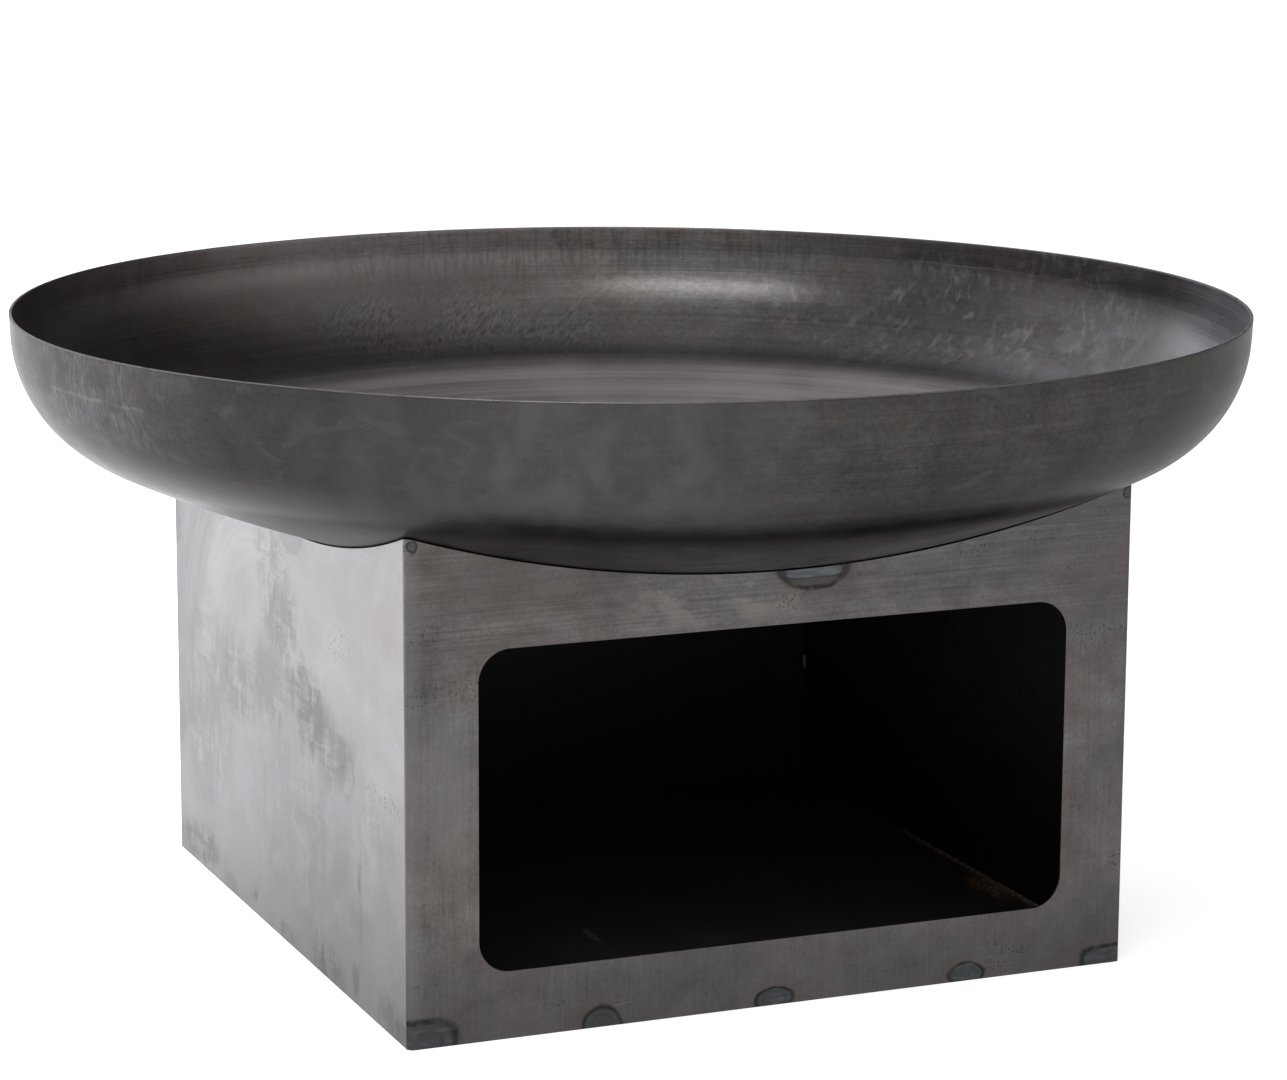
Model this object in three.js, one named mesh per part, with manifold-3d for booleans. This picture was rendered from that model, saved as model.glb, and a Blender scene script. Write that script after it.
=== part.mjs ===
// Steel fire bowl on a square sheet-steel base with a log store.
//
// Millimetres, +Z up.  The origin is on the ground, at the centre of the base.
// The front, with the mouth of the log store, faces -Y.
//
// The bowl is a spun dished end: a shallow crown, a tight knuckle and a short wall that leans out
// a little.  It lies loose in the base.  The base's sheets are cut to an arch that follows the
// bowl's underside, and a tab at each side and a gusset in each corner carry it.  A floor plate
// sits just inside the bottom edge.  Every joint of the base is tacked with short welds inside.

import * as THREE from 'three';
import { mergeVertices } from 'three/addons/utils/BufferGeometryUtils.js';
import Module from 'manifold-3d';

// ---------------------------------------------------------------- driving dimensions

const SHEET = 2; // thickness of every sheet
const FIT_GAP = 0.3; // clearance between pieces that touch

const BOWL_RADIUS = 400; // outside, at the rim
const BOWL_HEIGHT = 405; // the rim, over the ground
const CROWN_RADIUS = 820; // outside
const KNUCKLE_RADIUS = 87; // outside
const WALL_LENGTH = 14; // straight wall, over the knuckle
const WALL_LEAN = THREE.MathUtils.degToRad(2.5);
const BOWL_SEGMENTS = 64;
const CROWN_STEPS = 8;
const KNUCKLE_STEPS = 6;

const BASE_SIDE = 480; // outside
const BEND_RADIUS = 4; // outside, at the two front corners
const BEND_STEPS = 5;
const EDGE_GAP = 0.5; // from the arched edges up to the bowl
const EDGE_STEPS = 24; // along each arched edge

const MOUTH_WIDTH = 390;
const MOUTH_BOTTOM = 42;
const MOUTH_TOP = 239.5;
const MOUTH_CORNER = 20;
const MOUTH_CORNER_STEPS = 6;

const FLOOR_TOP = 8; // the floor plate's upper face, over the ground
const CORNER_CLIP = 3; // cut off the corners that meet a bend

const TAB = { width: 37, reach: 26, thickness: 5, offset: 21 };
const GUSSET = { leg: 32, thickness: 3 };

const TACK_LENGTH = 15;
const TACK_LEG = 4.5;
const BEAD_STEPS = 6;
const TAB_WELD_LENGTH = 33;
const SPOT = { radius: 3.2, height: 4, steps: 5, segments: 12 };

// Places of the welds that hold the floor plate, from the left of each side as seen from outside.
const FLOOR_TACKS = {
  front: [-225, -116, -2, 130, 225],
  right: [-225, -118, 4, 122, 225],
  back: [-225, -121, 1, 117, 225],
  left: [-225, -119, 5, 108, 225],
};
const SEAM_TACKS = [92, 234]; // heights of the welds in the rear corners

// ---------------------------------------------------------------- materials

function steel(color, roughness) {
  return new THREE.MeshStandardMaterial({ color, roughness, metalness: 0.9 });
}

const bowlSteel = steel(0x4a4644, 0.45);
const sheetSteel = steel(0x6e6b69, 0.5);
const barSteel = steel(0x45413f, 0.6);
const weldSteel = steel(0x59534e, 0.55);

// ---------------------------------------------------------------- helpers

const root = new THREE.Group();

function addMesh(name, geometry, material, parent = root) {
  const mesh = new THREE.Mesh(geometry, material);
  mesh.name = name;
  parent.add(mesh);
}

// A group turned about +Z, so that its own -Y side is the named side of the base.
const SIDES = ['front', 'right', 'back', 'left'];

function addSide(index) {
  const side = new THREE.Group();
  side.rotation.z = (index * Math.PI) / 2;
  root.add(side);
  return side;
}

// A closed body through rings that all have the same number of points, with flat ends.
function loft(rings) {
  const count = rings[0].length;
  const positions = rings.flat().flatMap((point) => [point.x, point.y, point.z]);
  const index = [];
  for (let ring = 0; ring + 1 < rings.length; ring += 1) {
    for (let i = 0; i < count; i += 1) {
      const a = ring * count + i;
      const b = ring * count + ((i + 1) % count);
      index.push(a, b, b + count, a, b + count, a + count);
    }
  }
  const last = (rings.length - 1) * count;
  for (let i = 1; i + 1 < count; i += 1) {
    index.push(0, i + 1, i);
    index.push(last, last + i, last + i + 1);
  }
  const geometry = new THREE.BufferGeometry();
  geometry.setAttribute('position', new THREE.Float32BufferAttribute(positions, 3));
  geometry.setIndex(index);
  geometry.computeVertexNormals();
  return geometry;
}

const wasm = await Module();
wasm.setup();

function toSolid(geometry) {
  const bare = geometry.clone();
  bare.deleteAttribute('normal');
  bare.deleteAttribute('uv');
  const merged = mergeVertices(bare);
  const mesh = new wasm.Mesh({
    numProp: 3,
    vertProperties: new Float32Array(merged.attributes.position.array),
    triVerts: new Uint32Array(merged.index.array),
  });
  return new wasm.Manifold(mesh);
}

function toGeometry(solid) {
  const mesh = solid.getMesh();
  const geometry = new THREE.BufferGeometry();
  geometry.setAttribute('position', new THREE.Float32BufferAttribute(mesh.vertProperties, 3));
  geometry.setIndex(new THREE.Uint32BufferAttribute(mesh.triVerts, 1));
  geometry.computeVertexNormals();
  return geometry;
}

// ---------------------------------------------------------------- the bowl's outside

const wallFootX = BOWL_RADIUS - WALL_LENGTH * Math.sin(WALL_LEAN);
const wallFootZ = BOWL_HEIGHT - WALL_LENGTH * Math.cos(WALL_LEAN);
const knuckleX = wallFootX - KNUCKLE_RADIUS * Math.cos(WALL_LEAN);
const knuckleZ = wallFootZ + KNUCKLE_RADIUS * Math.sin(WALL_LEAN);
const crownAngle = Math.asin(knuckleX / (CROWN_RADIUS - KNUCKLE_RADIUS));
const crownZ = knuckleZ + (CROWN_RADIUS - KNUCKLE_RADIUS) * Math.cos(crownAngle);

// The height of the bowl's underside, at a distance from its axis that lies on the crown.
function underside(distance) {
  return crownZ - Math.sqrt(CROWN_RADIUS ** 2 - distance ** 2);
}

// The dished end's profile from the axis to the rim, at a depth inside its outer surface.
function bowlProfile(depth) {
  const crown = CROWN_RADIUS - depth;
  const knuckle = KNUCKLE_RADIUS - depth;
  const points = [];
  for (let i = 0; i < CROWN_STEPS; i += 1) {
    const angle = (crownAngle * i) / CROWN_STEPS;
    points.push(new THREE.Vector2(crown * Math.sin(angle), crownZ - crown * Math.cos(angle)));
  }
  const sweep = Math.PI / 2 - WALL_LEAN - crownAngle;
  for (let i = 0; i <= KNUCKLE_STEPS; i += 1) {
    const angle = crownAngle + (sweep * i) / KNUCKLE_STEPS;
    const x = knuckleX + knuckle * Math.sin(angle);
    points.push(new THREE.Vector2(x, knuckleZ - knuckle * Math.cos(angle)));
  }
  points.push(new THREE.Vector2(BOWL_RADIUS - depth, BOWL_HEIGHT));
  return points;
}

function addBowl() {
  const profile = [...bowlProfile(0), ...bowlProfile(SHEET).reverse()];
  const geometry = new THREE.LatheGeometry(profile, BOWL_SEGMENTS);
  geometry.rotateX(Math.PI / 2);
  addMesh('fire_bowl', geometry, bowlSteel);
}

// ---------------------------------------------------------------- the base's sheets

const OUTSIDE = BASE_SIDE / 2;
const INSIDE = OUTSIDE - SHEET;

// One cross-section of an upright sheet.  Its top edge is cut square to the sheet, so the edge's
// inner corner comes nearest to the bowl and sets the height.
function sheetSection(outer, inner) {
  const top = underside(inner.length()) - EDGE_GAP;
  return [
    new THREE.Vector3(outer.x, outer.y, 0),
    new THREE.Vector3(inner.x, inner.y, 0),
    new THREE.Vector3(inner.x, inner.y, top),
    new THREE.Vector3(outer.x, outer.y, top),
  ];
}

// Sections of a flat stretch of sheet along the front, from one x to another.
function flatSections(from, to) {
  const sections = [];
  for (let i = 0; i <= EDGE_STEPS; i += 1) {
    const x = from + ((to - from) * i) / EDGE_STEPS;
    const outer = new THREE.Vector2(x, -OUTSIDE);
    const inner = new THREE.Vector2(x, -INSIDE);
    sections.push(sheetSection(outer, inner));
  }
  return sections;
}

// Sections of the bend at the front left corner, without its two ends.
function bendSections() {
  const centre = new THREE.Vector2(BEND_RADIUS - OUTSIDE, BEND_RADIUS - OUTSIDE);
  const sections = [];
  for (let i = 1; i < BEND_STEPS; i += 1) {
    const angle = Math.PI * (1 + i / (2 * BEND_STEPS));
    const ray = new THREE.Vector2(Math.cos(angle), Math.sin(angle));
    const outer = centre.clone().addScaledVector(ray, BEND_RADIUS);
    const inner = centre.clone().addScaledVector(ray, BEND_RADIUS - SHEET);
    sections.push(sheetSection(outer, inner));
  }
  return sections;
}

function turned(sections, quarters) {
  const axis = new THREE.Vector3(0, 0, 1);
  const angle = (quarters * Math.PI) / 2;
  return sections.map((points) => points.map((point) => point.clone().applyAxisAngle(axis, angle)));
}

function mouthCutter() {
  const x = MOUTH_WIDTH / 2 - MOUTH_CORNER;
  const bottom = MOUTH_BOTTOM + MOUTH_CORNER;
  const top = MOUTH_TOP - MOUTH_CORNER;
  const quarter = Math.PI / 2;
  const shape = new THREE.Shape();
  shape.absarc(x, bottom, MOUTH_CORNER, -quarter, 0);
  shape.absarc(x, top, MOUTH_CORNER, 0, quarter);
  shape.absarc(-x, top, MOUTH_CORNER, quarter, 2 * quarter);
  shape.absarc(-x, bottom, MOUTH_CORNER, 2 * quarter, 3 * quarter);
  shape.closePath();
  const depth = 10 * SHEET;
  const curveSegments = MOUTH_CORNER_STEPS;
  const geometry = new THREE.ExtrudeGeometry(shape, { depth, curveSegments, bevelEnabled: false });
  geometry.rotateX(Math.PI / 2);
  geometry.translate(0, depth / 2 - OUTSIDE, 0);
  return geometry;
}

// The front and the two sides are one sheet with two bends.
function addShell() {
  const flat = OUTSIDE - BEND_RADIUS;
  const sections = [
    ...turned(flatSections(-OUTSIDE, flat), -1),
    ...bendSections(),
    ...flatSections(-flat, flat),
    ...turned(bendSections(), 1),
    ...turned(flatSections(-flat, OUTSIDE), 1),
  ];
  const shell = toSolid(loft(sections)).subtract(toSolid(mouthCutter()));
  addMesh('base_shell', toGeometry(shell), sheetSteel);
}

// The back stands between the two sides, flush with their rear edges.
function addBackPanel() {
  const half = INSIDE - FIT_GAP;
  const sections = turned(flatSections(-half, half), 2);
  addMesh('back_panel', loft(sections), sheetSteel);
}

// A flat plate with the given outline, under a height.
function flatPlate(points, top, thickness) {
  const shape = new THREE.Shape(points.map(([x, y]) => new THREE.Vector2(x, y)));
  const geometry = new THREE.ExtrudeGeometry(shape, { depth: thickness, bevelEnabled: false });
  geometry.translate(0, 0, top - thickness);
  return geometry;
}

function addFloorPlate() {
  const half = INSIDE - FIT_GAP;
  const clipped = half - CORNER_CLIP;
  const points = [
    [-clipped, -half],
    [clipped, -half],
    [half, -clipped],
    [half, clipped],
    [clipped, half],
    [-clipped, half],
    [-half, clipped],
    [-half, -clipped],
  ];
  addMesh('floor_plate', flatPlate(points, FLOOR_TOP, SHEET), sheetSteel);
}

// ---------------------------------------------------------------- what carries the bowl

// A tab leans in towards the middle with the crown, so its angle is the crown's over its centre.
const tabLean = Math.asin((INSIDE - TAB.reach / 2) / CROWN_RADIUS);
const tabRun = (TAB.reach / 2) * Math.cos(tabLean);
const tabY = -INSIDE + FIT_GAP + TAB.thickness * Math.sin(tabLean) + tabRun;
const tabNearest = Math.hypot(TAB.offset - TAB.width / 2, tabY);
const tabTop = underside(tabNearest) - FIT_GAP;

function addTab(name, side) {
  const half = TAB.width / 2;
  const reach = TAB.reach / 2;
  const points = [
    [-half, -reach],
    [half, -reach],
    [half, reach - CORNER_CLIP],
    [half - CORNER_CLIP, reach],
    [CORNER_CLIP - half, reach],
    [-half, reach - CORNER_CLIP],
  ];
  const geometry = flatPlate(points, 0, TAB.thickness);
  geometry.rotateX(-tabLean);
  geometry.translate(TAB.offset, tabY, tabTop);
  addMesh(`support_tab_${name}`, geometry, barSteel, side);
}

// A flat gusset lies in the corner to the left of its side, and its long edge meets the bowl.
const gussetCorner = INSIDE - FIT_GAP;
const gussetTop = underside((gussetCorner - GUSSET.leg / 2) * Math.SQRT2) - FIT_GAP;

function addGusset(name, side) {
  const points = [
    [-gussetCorner + CORNER_CLIP, -gussetCorner],
    [-gussetCorner + GUSSET.leg, -gussetCorner],
    [-gussetCorner, -gussetCorner + GUSSET.leg],
    [-gussetCorner, -gussetCorner + CORNER_CLIP],
  ];
  const geometry = flatPlate(points, gussetTop, GUSSET.thickness);
  addMesh(`corner_gusset_${name}`, geometry, barSteel, side);
}

// ---------------------------------------------------------------- welds

const DOWN = new THREE.Vector3(0, 0, -1);
const INWARDS = new THREE.Vector3(0, 1, 0); // from the front
const FORWARDS = new THREE.Vector3(0, -1, 0);

// A short weld bead in a corner.  It lies between two legs that start at its root, bulges between
// them, runs at right angles to both and tapers to its two ends.
function bead(middle, firstLeg, secondLeg, length) {
  const along = firstLeg.clone().cross(secondLeg).normalize();
  const rings = [];
  for (let i = 0; i <= BEAD_STEPS; i += 1) {
    const t = i / BEAD_STEPS;
    const leg = TACK_LEG * (0.4 + 0.6 * Math.sqrt(Math.sin(Math.PI * t)));
    const start = middle.clone().addScaledVector(along, length * (t - 0.5));
    const toe = (first, second) => start.clone()
      .addScaledVector(firstLeg, leg * first)
      .addScaledVector(secondLeg, leg * second);
    rings.push([start, toe(1, 0), toe(0.8, 0.45), toe(0.45, 0.8), toe(0, 1)]);
  }
  return loft(rings);
}

function addFloorTacks(name, side) {
  FLOOR_TACKS[name].forEach((x, i) => {
    const middle = new THREE.Vector3(x, -INSIDE + FIT_GAP, FLOOR_TOP - SHEET - FIT_GAP);
    const geometry = bead(middle, INWARDS, DOWN, TACK_LENGTH);
    addMesh(`floor_tack_${name}_${i + 1}`, geometry, weldSteel, side);
  });
}

function addTabWeld(name, side) {
  const underTab = new THREE.Vector3(0, Math.cos(tabLean), -Math.sin(tabLean));
  const tabRise = tabRun * Math.tan(tabLean) - TAB.thickness / Math.cos(tabLean);
  const middle = new THREE.Vector3(TAB.offset, -INSIDE + FIT_GAP, tabTop + tabRise - 2 * FIT_GAP);
  const geometry = bead(middle, underTab, DOWN, TAB_WELD_LENGTH);
  addMesh(`tab_weld_${name}`, geometry, weldSteel, side);
}

// A round spot of weld holds each gusset, on top of it and hard in the corner.
function addGussetSpot(name, side) {
  const profile = [new THREE.Vector2(0, 0)];
  for (let i = 0; i < SPOT.steps; i += 1) {
    const angle = (Math.PI / 2) * (i / SPOT.steps);
    profile.push(new THREE.Vector2(SPOT.radius * Math.cos(angle), SPOT.height * Math.sin(angle)));
  }
  profile.push(new THREE.Vector2(0, SPOT.height));
  const geometry = new THREE.LatheGeometry(profile, SPOT.segments);
  geometry.rotateX(Math.PI / 2);
  const place = -gussetCorner + SPOT.radius;
  geometry.translate(place, place, gussetTop + FIT_GAP);
  addMesh(`gusset_spot_${name}`, geometry, weldSteel, side);
}

// The rear seams are tacked inside, in the corners between the back panel and the sides.
function addSeamTacks(name, sign) {
  const sideways = new THREE.Vector3(-sign, 0, 0);
  SEAM_TACKS.forEach((z, i) => {
    const middle = new THREE.Vector3(sign * (INSIDE - FIT_GAP), INSIDE - FIT_GAP, z);
    const geometry = bead(middle, sideways, FORWARDS, TACK_LENGTH);
    addMesh(`seam_tack_${name}_${i + 1}`, geometry, weldSteel);
  });
}

// ---------------------------------------------------------------- the whole object

addBowl();
addShell();
addBackPanel();
addFloorPlate();

const CORNERS = ['front_left', 'front_right', 'rear_right', 'rear_left'];

SIDES.forEach((name, index) => {
  const side = addSide(index);
  addTab(name, side);
  addTabWeld(name, side);
  addGusset(CORNERS[index], side);
  addGussetSpot(CORNERS[index], side);
  addFloorTacks(name, side);
});
addSeamTacks('left', -1);
addSeamTacks('right', 1);

export default root;
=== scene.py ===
"""Raw steel fire bowl on a square sheet-steel base with a log store, in a white studio.

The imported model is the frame: its boxes give the places, and the sizes below repeat those that a box
can't give.  Metres, +Z up, the front faces -Y.
"""

import math

import bmesh
import bpy
from mathutils import Matrix, Vector


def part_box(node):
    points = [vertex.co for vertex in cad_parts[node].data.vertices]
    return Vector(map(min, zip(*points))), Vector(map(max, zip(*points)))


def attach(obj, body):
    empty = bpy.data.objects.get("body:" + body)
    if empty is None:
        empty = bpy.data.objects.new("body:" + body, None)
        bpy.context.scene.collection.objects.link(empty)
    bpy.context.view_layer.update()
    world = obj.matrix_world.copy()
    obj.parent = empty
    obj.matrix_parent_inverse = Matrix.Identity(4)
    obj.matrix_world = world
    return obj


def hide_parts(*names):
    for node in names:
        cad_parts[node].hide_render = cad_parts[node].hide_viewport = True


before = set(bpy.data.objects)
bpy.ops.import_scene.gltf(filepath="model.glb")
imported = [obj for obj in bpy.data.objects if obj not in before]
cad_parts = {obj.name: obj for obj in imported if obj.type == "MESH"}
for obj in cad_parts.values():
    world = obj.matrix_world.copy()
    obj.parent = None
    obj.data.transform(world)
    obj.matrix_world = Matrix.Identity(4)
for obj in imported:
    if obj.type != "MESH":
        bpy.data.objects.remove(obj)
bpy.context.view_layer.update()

# ---- sizes, in metres

MM = 0.001
SHEET = 2 * MM
FIT_GAP = 0.3 * MM
CUT_BEVEL = 0.25 * MM  # on every cut edge of a sheet
SEAM_OVERLAP = 0.4 * MM  # of the back and the floor into the walls, so that no light comes through
BACK_STEP = 0.1 * MM  # from the side sheets' rear edges in to the back sheet

BOWL_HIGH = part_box("fire_bowl")[1]
BOWL_RADIUS = BOWL_HIGH.x
RIM_Z = BOWL_HIGH.z
RIM_ROUND = 0.5 * MM
CROWN_RADIUS = 820 * MM
KNUCKLE_RADIUS = 87 * MM
WALL_LENGTH = 14 * MM
WALL_LEAN = math.radians(2.5)

BASE_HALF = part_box("base_shell")[1].x
INSIDE = BASE_HALF - SHEET
BEND_RADIUS = 4 * MM
EDGE_GAP = 0.5 * MM
MOUTH_HALF = 195 * MM
MOUTH_BOTTOM = 42 * MM
MOUTH_TOP = 239.5 * MM
MOUTH_CORNER = 20 * MM
FLOOR_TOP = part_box("floor_plate")[1].z
CORNER_CLIP = 3 * MM

TAB_WIDTH = 37 * MM
TAB_REACH = 26 * MM
TAB_THICKNESS = 5 * MM
TAB_OFFSET = 21 * MM
GUSSET_LEG = 32 * MM
GUSSET_THICKNESS = 3 * MM
TACK_LENGTH = 15 * MM
TACK_LEG = 4.5 * MM
TAB_WELD_LENGTH = 33 * MM
BEAD_RIPPLE = 1.6 * MM
BEAD_RIPPLE_DEPTH = 0.07  # as shares of a tack's leg, like the two below
BEAD_END = 0.38
BEAD_SWELL = 0.55  # from the ends to the middle

SIDES = ("front", "right", "back", "left")
CORNERS = ("front_left", "front_right", "rear_right", "rear_left")


def quarter_turn(side):
    """Turns the front's own frame to that of a side, where -Y points out and X runs to the right."""
    return Matrix.Rotation(SIDES.index(side) * math.pi / 2, 3, "Z")


def middle_of(node):
    low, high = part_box(node)
    return (low + high) / 2


def arc(middle, radius, start, end, steps):
    """Points on an arc, as (x, z), from one angle to another.  Both ends are included."""
    points = []
    for i in range(steps + 1):
        angle = start + (end - start) * i / steps
        points.append((middle[0] + radius * math.cos(angle), middle[1] + radius * math.sin(angle)))
    return points


# ---- mesh helpers

def add_object(name, data):
    """Puts a new object with its data into the scene."""
    made = bpy.data.objects.new(name, data)
    bpy.context.scene.collection.objects.link(made)
    return made


def new_object(name, builder, materials):
    """An object from a bmesh, with its faces turned outwards."""
    mesh = bpy.data.meshes.new(name)
    bmesh.ops.recalc_face_normals(builder, faces=builder.faces)
    builder.to_mesh(mesh)
    builder.free()
    for material in materials:
        mesh.materials.append(material)
    return add_object(name, mesh)


def apply_modifiers(piece):
    """Replaces a piece's mesh with what its modifiers make of it."""
    graph = bpy.context.evaluated_depsgraph_get()
    mesh = bpy.data.meshes.new_from_object(piece.evaluated_get(graph))
    piece.modifiers.clear()
    piece.data = mesh


def shade(piece, angle):
    """Smooth shading that keeps edges sharper than an angle, in degrees."""
    piece.data.shade_smooth()
    piece.data.set_sharp_from_angle(angle=math.radians(angle))


def bevel_edges(piece, width, segments=2):
    """Breaks the sharp edges and evens out the normals of the flats beside them."""
    bevel = piece.modifiers.new("edges", "BEVEL")
    bevel.width = width
    bevel.segments = segments
    bevel.limit_method = "ANGLE"
    bevel.angle_limit = math.radians(50)
    apply_modifiers(piece)
    shade(piece, 40)
    normals = piece.modifiers.new("normals", "WEIGHTED_NORMAL")
    normals.keep_sharp = True
    normals.weight = 100
    apply_modifiers(piece)


def thicken(piece, thickness, bevel):
    """Gives a skin a thickness behind it.  The back and the cut edges take the later materials."""
    skins = len(piece.data.materials) // 2
    solid = piece.modifiers.new("thickness", "SOLIDIFY")
    solid.thickness = thickness
    solid.offset = -1
    solid.use_even_offset = True
    solid.material_offset = skins
    solid.material_offset_rim = 2 * skins
    apply_modifiers(piece)
    bevel_edges(piece, bevel)


def closed_loop(builder, points):
    """The vertices and edges of a closed outline."""
    verts = [builder.verts.new(point) for point in points]
    edges = [builder.edges.new((a, b)) for a, b in zip(verts, verts[1:] + verts[:1])]
    return verts, edges


def bridge(builder, rings, material_of=None):
    """Quads between rings of the same number of vertices."""
    count = len(rings[0])
    for row, (ring, following) in enumerate(zip(rings, rings[1:])):
        for i in range(count):
            j = (i + 1) % count
            face = builder.faces.new((ring[i], ring[j], following[j], following[i]))
            if material_of:
                face.material_index = material_of(row)


# ---- the bowl's outline

WALL_FOOT_X = BOWL_RADIUS - WALL_LENGTH * math.sin(WALL_LEAN)
WALL_FOOT_Z = RIM_Z - WALL_LENGTH * math.cos(WALL_LEAN)
KNUCKLE_X = WALL_FOOT_X - KNUCKLE_RADIUS * math.cos(WALL_LEAN)
KNUCKLE_Z = WALL_FOOT_Z + KNUCKLE_RADIUS * math.sin(WALL_LEAN)
CROWN_ANGLE = math.asin(KNUCKLE_X / (CROWN_RADIUS - KNUCKLE_RADIUS))
CROWN_Z = KNUCKLE_Z + (CROWN_RADIUS - KNUCKLE_RADIUS) * math.cos(CROWN_ANGLE)


def underside(distance):
    """The height of the bowl's outside at a distance from its axis, on the crown."""
    return CROWN_Z - math.sqrt(CROWN_RADIUS**2 - distance**2)


def bowl_profile(depth):
    """The dished end's outline from near the axis to just under the rim, at a depth in the sheet."""
    joint = CROWN_ANGLE - math.pi / 2
    points = arc((0, CROWN_Z), CROWN_RADIUS - depth, -math.pi / 2, joint, 60)[1:-1]
    points += arc((KNUCKLE_X, KNUCKLE_Z), KNUCKLE_RADIUS - depth, joint, -WALL_LEAN, 40)
    foot_x, foot_z = points[-1]
    top_x, top_z = BOWL_RADIUS - depth, RIM_Z - RIM_ROUND
    steps = 6
    for i in range(1, steps + 1):
        t = i / steps
        points.append((foot_x + (top_x - foot_x) * t, foot_z + (top_z - foot_z) * t))
    return points


def rim_profile():
    """The rim's cut edge, from outside to inside, with both corners rounded."""
    z = RIM_Z - RIM_ROUND
    outer = arc((BOWL_RADIUS - RIM_ROUND, z), RIM_ROUND, 0, math.pi / 2, 4)
    return outer + arc((BOWL_RADIUS - SHEET + RIM_ROUND, z), RIM_ROUND, math.pi / 2, math.pi, 4)


# How far a pressed bowl strays outwards and upwards, as waves of (size, number around it, phase).
STRAY_OUT = ((0.5 * MM, 2, 0.6), (0.3 * MM, 3, 2.0))
STRAY_UP = ((0.35 * MM, 2, 2.4), (0.2 * MM, 5, 0.0))


def stray(waves, turn):
    """The sum of some waves at a turn.  It is never above 0, so that the bowl stays within its size."""
    return sum(size * (math.cos(number * turn + phase) - 1) for size, number, phase in waves)


def pressed(x, z, turn):
    """A point of the bowl, very slightly out of round and out of flat, as a pressed one is."""
    reach = (x / BOWL_RADIUS) ** 2
    radius = x + stray(STRAY_OUT, turn) * reach
    return radius * math.cos(turn), radius * math.sin(turn), z + stray(STRAY_UP, turn) * reach**2


def make_bowl(materials):
    """The dished end, turned about its axis.  Its materials are those of outside, inside and rim."""
    segments = 288
    outside, rim, inside = bowl_profile(0), rim_profile()[1:-1], bowl_profile(SHEET)[::-1]
    builder = bmesh.new()
    bottom = builder.verts.new((0, 0, CROWN_Z - CROWN_RADIUS))
    top = builder.verts.new((0, 0, CROWN_Z - CROWN_RADIUS + SHEET))
    rings = []
    for x, z in outside + rim + inside:
        ring = []
        for i in range(segments):
            ring.append(builder.verts.new(pressed(x, z, 2 * math.pi * i / segments)))
        rings.append(ring)
    rim_start, rim_end = len(outside) - 1, len(outside) + len(rim)
    bridge(builder, rings, lambda row: 0 if row < rim_start else (2 if row < rim_end else 1))
    for i in range(segments):
        j = (i + 1) % segments
        builder.faces.new((bottom, rings[0][j], rings[0][i]))
        cap = builder.faces.new((top, rings[-1][i], rings[-1][j]))
        cap.material_index = 1
    bowl = new_object("bowl", builder, materials)
    shade(bowl, 60)
    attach(bowl, "bowl")
    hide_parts("fire_bowl")


# ---- the base's sheets

def on_base(piece, node):
    """Ties a piece to the base and hides the imported part of the node that it stands for."""
    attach(piece, "base")
    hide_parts(node)


def edge_height(x, y):
    """The height of a sheet's arched top edge over a point of its inner face."""
    return underside(math.hypot(x, y)) - EDGE_GAP


def arched_outline(start, end, steps=110):
    """Points of an arched edge along the front, as (x, z), from one x to another."""
    points = []
    for i in range(steps + 1):
        x = start + (end - start) * i / steps
        points.append((x, edge_height(x, INSIDE)))
    return points


def mouth_outline():
    """Points around the mouth's edge, as (x, z)."""
    right, left = MOUTH_HALF - MOUTH_CORNER, MOUTH_CORNER - MOUTH_HALF
    top, bottom = MOUTH_TOP - MOUTH_CORNER, MOUTH_BOTTOM + MOUTH_CORNER
    points = []
    for i, corner in enumerate(((right, top), (left, top), (left, bottom), (right, bottom))):
        points += arc(corner, MOUTH_CORNER, math.pi / 2 * i, math.pi / 2 * (i + 1), 14)
    return points


def make_wall(builder, side, start, end, material_index):
    """The outer face of a flat wall, from one x to another in the side's own frame."""
    turn = quarter_turn(side)
    outline = [(start, 0)] + arched_outline(start, end) + [(end, 0)]
    verts, edges = closed_loop(builder, [turn @ Vector((x, -BASE_HALF, z)) for x, z in outline])
    if side == "front":
        edges += closed_loop(builder, [Vector((x, -BASE_HALF, z)) for x, z in mouth_outline()])[1]
        bmesh.ops.triangle_fill(builder, edges=edges, use_dissolve=False, use_beauty=True)
    else:
        builder.faces.new(verts).material_index = material_index
    return verts


def make_bend(builder, hand, near, far, steps=12):
    """A quarter bend at a front corner, from one wall's end, as (bottom, top), to the next one's."""
    flat = BASE_HALF - BEND_RADIUS
    centre = Vector((hand * flat, -flat, 0))
    first = math.pi if hand < 0 else 1.5 * math.pi
    column = near
    for i in range(1, steps + 1):
        angle = first + math.pi / 2 * i / steps
        ray = Vector((math.cos(angle), math.sin(angle), 0))
        if i == steps:
            following = far
        else:
            outer = centre + ray * BEND_RADIUS
            inner = centre + ray * (BEND_RADIUS - SHEET)
            top = Vector((outer.x, outer.y, edge_height(inner.x, inner.y)))
            following = (builder.verts.new(outer), builder.verts.new(top))
        builder.faces.new((column[0], following[0], following[1], column[1]))
        column = following


def make_shell(front_steel, left_steel, right_steel, inner_steel, edge_steel):
    """The front and both sides: one sheet with two bends, an arched top edge and the mouth."""
    flat = BASE_HALF - BEND_RADIUS
    builder = bmesh.new()
    left = make_wall(builder, "left", -BASE_HALF, flat, 1)
    front = make_wall(builder, "front", -flat, flat, 0)
    right = make_wall(builder, "right", -flat, BASE_HALF, 2)
    make_bend(builder, -1, (left[-1], left[-2]), (front[0], front[1]))
    make_bend(builder, 1, (front[-1], front[-2]), (right[0], right[1]))
    skins = [front_steel, left_steel, right_steel]
    shell = new_object("shell", builder, skins + 3 * [inner_steel] + [edge_steel])
    thicken(shell, SHEET, CUT_BEVEL)
    on_base(shell, "base_shell")


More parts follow.
